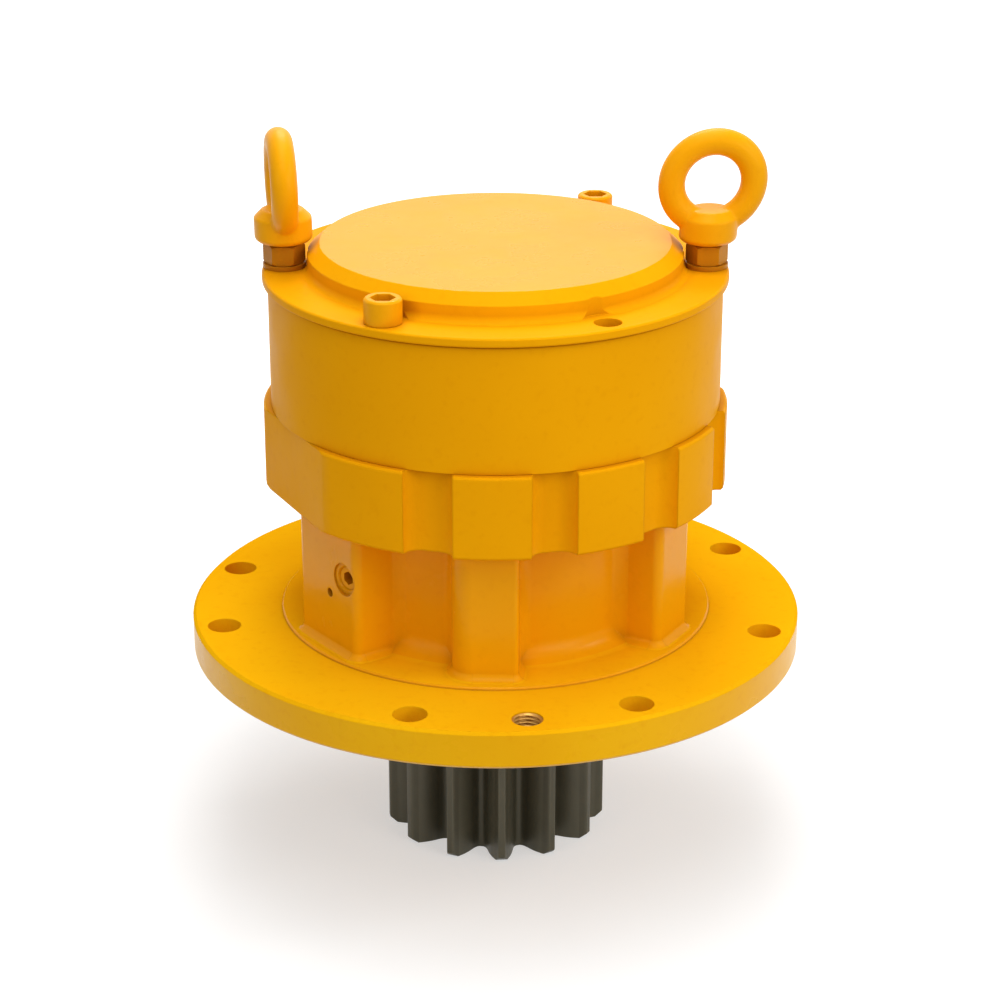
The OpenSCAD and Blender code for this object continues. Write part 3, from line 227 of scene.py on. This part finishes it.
def rubber(name):
    """Matte black nitrile rubber."""
    nodes = Nodes(name)
    tone = nodes.mixed(nodes.noise(120, 3), (0.018, 0.018, 0.019), (0.035, 0.034, 0.033))
    nodes.join(tone, nodes.shader.inputs["Base Color"])
    nodes.join(nodes.ranged(nodes.noise(300), 0.3, 0.7, 0.6, 0.8),
               nodes.shader.inputs["Roughness"])
    nodes.join(nodes.bumped(nodes.noise(700), 0.03 * MM, 0.4), nodes.shader.inputs["Normal"])
    return nodes.material


CAST = enamel("enamel_cast", 0.22, 0.12, (1, 0.85, 0.5), grain=0.35 * MM, edges=1.2 * MM)
# The flange and its rim wear the lighter copy of the enamel, which is painted light
FLANGE = enamel("enamel_flange", 0.5, 0.0, edges=1.0 * MM, coat=ENAMEL_PAINTED_LIGHT)
RIM = enamel("enamel_rim", 0.3, 0.25, edges=1.0 * MM, coat=ENAMEL_PAINTED_LIGHT)
DECK = enamel("enamel_deck", grain=0.2 * MM, edges=2.0 * MM)
MACHINED = enamel("enamel_machined")
DISC = enamel("enamel_disc", 0.3, 0.17, (1, 1, 1))
FORGED = enamel("enamel_forged", 0.36, 0.15, (1, 0.7, 0.3), grain=0.25 * MM)
# Nuts and washers: the darker copy of the enamel, painted shade under the collars
NUTS = enamel("enamel_nuts", 0.45, 0.15, grain=0.2 * MM, coat=ENAMEL_PAINTED_SHADE)
PINION = steel("pinion_steel", PINION_STEEL, 0.42, PINION_PAINTED_HIGHLIGHT, metallic=0.25, specular=0.4)
THREAD = steel("cut_thread", (0.62, 0.33, 0.07), 0.38, metallic=0.6)
SLOTS = {
    "machine_paint": MACHINED,
    "painted_fastener": FORGED,
    "black_fastener": steel("black_oxide", (0.03, 0.028, 0.025), 0.45, metallic=0.8),
    "dark_steel": PINION,
    "ground_steel": steel("ground_steel", (0.55, 0.55, 0.56), 0.22),
    "bearing_steel": steel("bearing_steel", (0.45, 0.46, 0.48), 0.16),
    "gear_steel": steel("gear_steel", (0.33, 0.33, 0.34), 0.28),
    "cast_carrier": steel("cast_carrier", (0.14, 0.14, 0.14), 0.5, metallic=0.8),
    "bronze": steel("bronze", (0.52, 0.31, 0.10), 0.3),
    "seal_rubber": rubber("seal_rubber"),
}


def finish_cad_nodes():
    """Gives every node that stays as it is the material of its slot."""
    for node in frame["nodes"].values():
        for place in node.material_slots:
            place.material = SLOTS[place.material.name.split(".")[0]]


# Dressed copies of CAD nodes


WELD = 0.002 * MM
FLAT = math.radians(0.4)
SHARP = math.radians(28)
# How far a face's centre or a vertex may lie from the height or radius that it is known by
SLACK = 0.3 * MM


def made(mesh, name):
    """A new object with a mesh of its own."""
    mesh.verts.index_update()
    data = bpy.data.meshes.new(name)
    data.from_pydata([v.co[:] for v in mesh.verts], [],
                     [[v.index for v in face.verts] for face in mesh.faces])
    mesh.free()
    return linked(bpy.data.objects.new(name, data))


def copied(node, name, change=None):
    """A new object with the node's mesh, welded and with its flat faces joined."""
    mesh = bmesh.new()
    mesh.from_mesh(frame["nodes"][node].data)
    bmesh.ops.remove_doubles(mesh, verts=mesh.verts, dist=WELD)
    bmesh.ops.dissolve_limit(mesh, angle_limit=FLAT, verts=mesh.verts, edges=mesh.edges)
    if change:
        change(mesh)
    return made(mesh, name)


def radius(point):
    """Distance from the part's upright axis."""
    return math.hypot(point.x, point.y)


def painted(piece, choices):
    """Gives each face the first material whose test its centre and normal pass."""
    for material, _ in choices:
        piece.data.materials.append(material)
    for face in piece.data.polygons:
        tests = (i for i, (_, test) in enumerate(choices) if test(face.center, face.normal))
        face.material_index = next(tests)
    piece.data.shade_smooth()


def rounded(piece, width, segments=2):
    """Small rounds on every edge, with the flat faces kept flat."""
    bevel = piece.modifiers.new("rounds", "BEVEL")
    bevel.width = width
    bevel.segments = segments
    bevel.limit_method = "ANGLE"
    bevel.angle_limit = SHARP
    bevel.use_clamp_overlap = False
    weighed(piece)


def weighed(piece):
    """Shades the flat faces flat beside the rounds that they run into."""
    normals = piece.modifiers.new("normals", "WEIGHTED_NORMAL")
    normals.keep_sharp = True
    normals.weight = 80


def placed(piece, body, slot, *nodes):
    """Puts a piece on the body that carries it and hides the nodes that it stands for. slot is
    not used.
    """
    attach(piece, body)
    if nodes:
        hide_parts(*nodes)


def everywhere(centre, normal):
    return True


def mount(name):
    """One of the record's mounts."""
    return next(m for m in frame["record"]["mounts"] if m["name"] == name)


def around(circle, angles):
    """Places on a circle, as bearing angles from the front towards +X."""
    return [Vector((circle * math.sin(a), -circle * math.cos(a), 0))
            for a in (math.radians(angle) for angle in angles)]


# Housing


# The flange stands on height 0 and its holes run through it
FLANGE_TOP = mount("flange_hole_1")["dims"]["length_mm"] * MM
FLANGE_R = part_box("lower_housing")[1].x
RIM_W = 4 * MM
PAD_R = 145.3 * MM
PAD_H = 4 * MM
DECK_LOW = 117 * MM
JACK = mount("jacking_holes")["dims"]
JACK_ANGLES = (6.1, 186.1)
JACK_HOLES = around(JACK["pcd_mm"] / 2 * MM, JACK_ANGLES)
JACK_R = JACK["hole_r_mm"] * MM
JACK_ROOT = 10 * MM


def in_flange(centre, normal):
    """The machined flange: its top with the pad, its rim and all of its mounting side."""
    on_top = 0 < centre.z - FLANGE_TOP + SLACK < PAD_H and normal.z > 0.9
    outside = centre.z < FLANGE_TOP + SLACK and radius(centre) > PAD_R
    return on_top or outside or centre.z < SLACK


def on_rim(centre, normal):
    """The flange's upright side with its lower edge."""
    return in_flange(centre, normal) and radius(centre) > FLANGE_R - RIM_W and normal.z < 0.5


def in_neck(centre, normal):
    return centre.z < DECK_LOW - SLACK


def widen_jack_holes(mesh):
    """Makes room for the threads that are set into the jacking holes."""
    for vert in mesh.verts:
        for axis in JACK_HOLES:
            away = Vector((vert.co.x - axis.x, vert.co.y - axis.y, 0))
            if away.length < JACK_R + SLACK:
                vert.co += away.normalized() * (JACK_ROOT - away.length)


def dressed_housing():
    """The one casting: a machined flange with its rim, a raw neck, and the deck above it."""
    piece = copied("lower_housing", "housing", widen_jack_holes)
    painted(piece, [(RIM, on_rim), (FLANGE, in_flange), (CAST, in_neck), (DECK, everywhere)])
    piece.data.set_sharp_from_angle(angle=SHARP)
    weighed(piece)
    placed(piece, "housing", "machine_paint", "lower_housing")


# Threads in the open tapped holes: M20 in the flange, M16 in the drum under the cover


THREAD_SIDES = 40
THREAD_STEPS = 8
THREAD_WALL = 0.25 * MM
JACK_INSET = 0.8 * MM
JACK_PITCH = 2.5 * MM
SPARE_HOLES = [Vector(mount(f"spare_cover_hole_{end}")["pos_m"]) for end in ("front", "back")]
SPARE_INSET = 0.5 * MM
SPARE_DEPTH = 20 * MM
SPARE_R = 6.9 * MM
SPARE_ROOT = 8 * MM
SPARE_PITCH = 2 * MM
DRUM_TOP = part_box("ring_gear")[1].z


def thread(name, axis, low, high, crest, root, pitch):
    """A threaded sleeve in a hole: its inside follows a helix, its outside is plain."""
    rows = math.ceil((high - low) / (pitch / THREAD_STEPS))
    mesh = bmesh.new()

    def ring(z, reach):
        return [mesh.verts.new((axis.x + reach(a, z) * math.cos(a),
                                axis.y + reach(a, z) * math.sin(a), z))
                for a in (2 * math.pi * i / THREAD_SIDES for i in range(THREAD_SIDES))]

    def helix(a, z):
        """A V thread with flat crests and roots."""
        phase = (z / pitch - a / (2 * math.pi)) % 1
        share = min(1, max(0, 2.6 * abs(phase - 0.5) - 0.15))
        return root + (crest - root) * share

    def plain(a, z):
        return root + THREAD_WALL

    rings = [ring(low + (high - low) * i / rows, helix) for i in range(rows + 1)]
    rings += [ring(high, plain), ring(low, plain)]
    for first, second in zip(rings, rings[1:] + rings[:1]):
        for i in range(THREAD_SIDES):
            j = (i + 1) % THREAD_SIDES
            mesh.faces.new((first[i], second[i], second[j], first[j]))
    bmesh.ops.recalc_face_normals(mesh, faces=mesh.faces)
    piece = made(mesh, name)
    painted(piece, [(THREAD, everywhere)])
    piece.data.set_sharp_from_angle(angle=SHARP)
    placed(piece, "housing", "ground_steel")


def threads():
    for i, axis in enumerate(JACK_HOLES):
        thread(f"jack_thread_{i + 1}", axis, JACK_INSET, FLANGE_TOP - JACK_INSET, JACK_R,
               JACK_ROOT, JACK_PITCH)
    for i, axis in enumerate(SPARE_HOLES):
        thread(f"cover_thread_{i + 1}", axis, DRUM_TOP - SPARE_DEPTH, DRUM_TOP - SPARE_INSET,
               SPARE_R, SPARE_ROOT, SPARE_PITCH)


# Drum, cover and what is screwed to them


EYE_LEANS = {"left": -0.02, "right": 0.065}
SKIN_GRID = 0.75 * MM
SKIN_BLENDS = 9


def dressed_drum():
    piece = copied("ring_gear", "drum")
    painted(piece, [(MACHINED, everywhere)])
    rounded(piece, 0.5 * MM)
    placed(piece, "housing", "machine_paint", "ring_gear")


def dressed_cover():
    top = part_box("top_cover")[1].z

    def on_disc(centre, normal):
        return centre.z > top - SLACK and normal.z > 0.9

    piece = copied("top_cover", "cover")
    painted(piece, [(DISC, on_disc), (MACHINED, everywhere)])
    rounded(piece, 0.45 * MM, segments=3)
    placed(piece, "housing", "machine_paint", "top_cover")


def dressed_fastener(node, name, material, width):
    """Screws, nuts or washers of one node in one coat, with rounds of that width."""
    piece = copied(node, name)
    painted(piece, [(material, everywhere)])
    rounded(piece, width)
    placed(piece, "housing", "painted_fastener", node)


def forged_eye(side, lean):
    """One lifting eye bolt, with the ring, collar and shank blended as a forging. lean is how
    far it leans towards +X for each unit above its lock nut."""
    node = f"eye_bolt_{side}"
    nut_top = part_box("eye_bolt_nuts")[1].z

    def leant(mesh):
        for vert in mesh.verts:
            vert.co.x += lean * max(0, vert.co.z - nut_top)

    piece = copied(node, f"forged_eye_{side}", leant)
    painted(piece, [(FORGED, everywhere)])
    remesh = piece.modifiers.new("skin", "REMESH")
    remesh.mode = "VOXEL"
    remesh.voxel_size = SKIN_GRID
    remesh.use_smooth_shade = True
    smooth = piece.modifiers.new("blend", "SMOOTH")
    smooth.factor = 0.5
    smooth.iterations = SKIN_BLENDS
    placed(piece, "housing", "painted_fastener", node)


# Pinion. Angles are degrees, and a tooth's half is half of the angle that it fills at a radius


TEETH = 13
FIRST_TOOTH = 3.3
HALF_STEP = 180 / TEETH
OUTPUT = mount("output_pinion")
PINION_TOP = OUTPUT["pos_m"][2] + OUTPUT["dims"]["length_mm"] / 2 * MM
PITCH_R = OUTPUT["dims"]["r_mm"] * MM
PRESSURE_ANGLE = 20
BASE_R = PITCH_R * math.cos(math.radians(PRESSURE_ANGLE))
ROOT_R = PITCH_R - 1.25 * (2 * PITCH_R / TEETH)
BACKLASH = 0.2 * MM
CUT_SLACK = 0.001 * MM
# Radius in millimetres and half of the finished tooth there: first the round root, which bends
# where the flank is split, then the flank up to a narrow tip
ROOT_HALVES = ((52.5, 12.4), (53.5, 10.9), (55, 9.8), (57, 8.9), (59, 8.2))
FLANK_HALVES = ((61.1, 7.5), (65, 6.0), (70, 3.6), (75, 1.7))


def involute(turn):
    return math.tan(turn) - turn


def drawn_half(reach):
    """Half of a tooth in the CAD solid: straight below the base circle, an involute above it."""
    turn = math.acos(min(1, BASE_R / max(reach, BASE_R)))
    swell = involute(math.radians(PRESSURE_ANGLE)) - involute(turn) - BACKLASH / PITCH_R
    return HALF_STEP / 2 + math.degrees(swell)


def finished_half(reach):
    """Half of a tooth as the hob leaves it."""
    halves = ROOT_HALVES + FLANK_HALVES
    for (low, first), (high, second) in zip(halves, halves[1:]):
        if reach <= high * MM:
            share = max(0, (reach - low * MM) / ((high - low) * MM))
            return first + (second - first) * share
    return halves[-1][1]


def finished_side(reach, side):
    """Where a point beside the middle of its tooth goes to, be it in the tooth or in the gap."""
    drawn, finished = drawn_half(reach), finished_half(reach)
    if side < drawn + 0.05:
        return side * finished / drawn
    return finished + (side - drawn) / (HALF_STEP - drawn) * (HALF_STEP - finished)


def outwards(face):
    """The level direction from the pinion's axis to the middle of a face."""
    middle = face.calc_center_median()
    return Vector((middle.x, middle.y, 0)).normalized()


def is_straight_flank(face):
    """Whether a face is the straight part of a flank, between the root and the base circle."""
    reaches = [radius(vert.co) for vert in face.verts]
    upright = abs(face.normal.z) < 0.1 and abs(face.normal @ outwards(face)) < 0.3
    return upright and face.calc_center_median().z < PINION_TOP and \
        min(reaches) > ROOT_R - SLACK and max(reaches) < BASE_R + SLACK


def split_flanks(mesh):
    """Cuts the straight flanks where the round roots bend."""
    for face in [f for f in mesh.faces if is_straight_flank(f)]:
        way = outwards(face)
        geometry = [face, *face.edges, *face.verts]
        for distance, _ in ROOT_HALVES[1:]:
            cut = bmesh.ops.bisect_plane(mesh, geom=geometry, dist=CUT_SLACK,
                                         plane_co=way * distance * MM, plane_no=way)
            geometry = cut["geom"]


def hobbed(mesh):
    """Gives the pinion's teeth the round roots and narrow tips that a hob leaves."""
    split_flanks(mesh)
    for vert in mesh.verts:
        reach = radius(vert.co)
        if vert.co.z > PINION_TOP + SLACK or reach < ROOT_R - SLACK:
            continue
        angle = math.degrees(math.atan2(vert.co.x, -vert.co.y))
        side = (angle - FIRST_TOOTH + HALF_STEP) % (2 * HALF_STEP) - HALF_STEP
        moved = math.copysign(finished_side(reach, abs(side)), side)
        turned = math.radians(angle - side + moved)
        vert.co.x, vert.co.y = reach * math.sin(turned), -reach * math.cos(turned)


def dressed_pinion():
    piece = copied("pinion_shaft", "pinion", hobbed)
    painted(piece, [(PINION, everywhere)])
    rounded(piece, 0.6 * MM)
    placed(piece, "output", "dark_steel", "pinion_shaft")


# Floor, light and camera


FLOOR_Z = cad_bounds[0].z - 0.1 * MM
FLOOR_R = 9.0
FLOOR_SIDES = 96
FLOOR_GREY = (0.55, 0.55, 0.55, 1)
# Distance from the middle and the floor's own glow there, which the camera sees
FLOOR_NEAR = (0.25, 0.5)
FLOOR_FAR = (1.0, 1.0)
AMBIENT = 0.36


def calculated(tree, operation, first, second):
    """A Math node on two sockets."""
    node = tree.nodes.new("ShaderNodeMath")
    node.operation = operation
    tree.links.new(first, node.inputs[0])
    tree.links.new(second, node.inputs[1])
    return node.outputs[0]


def shown_rays(tree):
    """1 for rays from the camera, a reflection or a pane, 0 for the light on the object."""
    rays = tree.nodes.new("ShaderNodeLightPath").outputs
    seen = calculated(tree, "MAXIMUM", rays["Is Camera Ray"], rays["Is Glossy Ray"])
    return calculated(tree, "MAXIMUM", seen, rays["Is Transmission Ray"])


def floor_material():
    """Pale grey that takes the shadow, under a glow that only makes it look white."""
    material = bpy.data.materials.new("pale_floor")
    material.use_nodes = True
    tree = material.node_tree
    nodes, links = tree.nodes, tree.links
    nodes.remove(nodes["Principled BSDF"])
    diffuse = nodes.new("ShaderNodeBsdfDiffuse")
    diffuse.inputs["Color"].default_value = FLOOR_GREY
    reach = nodes.new("ShaderNodeVectorMath")
    reach.operation = "LENGTH"
    links.new(nodes.new("ShaderNodeTexCoord").outputs["Object"], reach.inputs[0])
    glow = nodes.new("ShaderNodeMapRange")
    for end, (distance, strength) in (("Min", FLOOR_NEAR), ("Max", FLOOR_FAR)):
        glow.inputs[f"From {end}"].default_value = distance
        glow.inputs[f"To {end}"].default_value = strength
    links.new(reach.outputs["Value"], glow.inputs["Value"])
    lift = nodes.new("ShaderNodeEmission")
    strength = calculated(tree, "MULTIPLY", shown_rays(tree), glow.outputs["Result"])
    links.new(strength, lift.inputs["Strength"])
    add = nodes.new("ShaderNodeAddShader")
    links.new(diffuse.outputs[0], add.inputs[0])
    links.new(lift.outputs[0], add.inputs[1])
    links.new(add.outputs[0], nodes["Material Output"].inputs["Surface"])
    return material


def floor():
    """A disc that keeps the shadow and shows white where it is fully lit."""
    mesh = bmesh.new()
    bmesh.ops.create_circle(mesh, cap_ends=True, radius=FLOOR_R, segments=FLOOR_SIDES,
                            matrix=Matrix.Translation((0, 0, FLOOR_Z)))
    data = bpy.data.meshes.new("floor")
    mesh.to_mesh(data)
    mesh.free()
    data.materials.append(floor_material())
    linked(bpy.data.objects.new("floor", data))


def world():
    """Plain light from all round, seen as white by the camera and in reflections."""
    backdrop = bpy.data.worlds.new("studio")
    backdrop.use_nodes = True
    tree = backdrop.node_tree
    background = tree.nodes["Background"]
    background.inputs["Color"].default_value = (1, 1, 1, 1)
    strength = tree.nodes.new("ShaderNodeMapRange")
    strength.inputs["To Min"].default_value = AMBIENT
    strength.inputs["To Max"].default_value = 1.0
    tree.links.new(shown_rays(tree), strength.inputs["Value"])
    tree.links.new(strength.outputs["Result"], background.inputs["Strength"])
    bpy.context.scene.world = backdrop


# Each lamp's place, side and watts, and the point that all of them face
LAMP_AIM = Vector((0, 0, 0.1))
LAMPS = {
    "top_softbox": ((0, -0.1, 2.0), 1.0, 12.9),
    "front_softbox": ((0, -1.1, 1.8), 1.0, 9.5),
    "left_softbox": ((-1.4, -1.4, 0.8), 1.0, 3.6),
    "right_softbox": ((1.4, -1.4, 0.8), 1.0, 10.5),
    "side_softbox": ((1.6, -0.4, 1.2), 0.4, 4.5),
    "back_softbox": ((0, 1.2, 1.7), 1.0, 17),
}


def facing(obj, aim):
    """Turns a lamp or a camera towards a point, upright."""
    obj.rotation_euler = (aim - obj.location).to_track_quat("-Z", "Y").to_euler()


def lamps():
    """Square soft lamps round the part."""
    for name, (place, side, power) in LAMPS.items():
        data = bpy.data.lights.new(name, "AREA")
        data.size = side
        data.energy = power
        lamp = linked(bpy.data.objects.new(name, data))
        lamp.location = place
        facing(lamp, LAMP_AIM)


# The photograph's view: a long lens from the front, looking down by so many radians
CAMERA_AIM = Vector((0, 0, 0.09237))
CAMERA_DISTANCE = 1.84309
CAMERA_ELEVATION = 0.380445
CAMERA_LENS = 98.67
CAMERA_SHIFT = (0.0045, 0.0069)


def camera():
    """Looks at the part from where the photograph was taken."""
    data = bpy.data.cameras.new("camera")
    data.sensor_width = 36
    data.lens = CAMERA_LENS
    data.shift_x, data.shift_y = CAMERA_SHIFT
    data.clip_end = 100
    eye = linked(bpy.data.objects.new("camera", data))
    way = Vector((0, -math.cos(CAMERA_ELEVATION), math.sin(CAMERA_ELEVATION)))
    eye.location = CAMERA_AIM + CAMERA_DISTANCE * way
    facing(eye, CAMERA_AIM)
    bpy.context.scene.camera = eye


camera()
world()
lamps()
floor()
finish_cad_nodes()
dressed_housing()
dressed_drum()
dressed_cover()
dressed_fastener("cover_screws", "cover_screw_heads", FORGED, 0.5 * MM)
threads()
for eye_side, eye_lean in EYE_LEANS.items():
    forged_eye(eye_side, eye_lean)
dressed_fastener("eye_bolt_nuts", "lock_nuts", NUTS, 0.4 * MM)
dressed_fastener("eye_bolt_washers", "washers", NUTS, 0.3 * MM)
dressed_fastener("drain_plug", "port_plug", FORGED, 0.3 * MM)
dressed_pinion()

bpy.context.scene.view_settings.view_transform = "Standard"
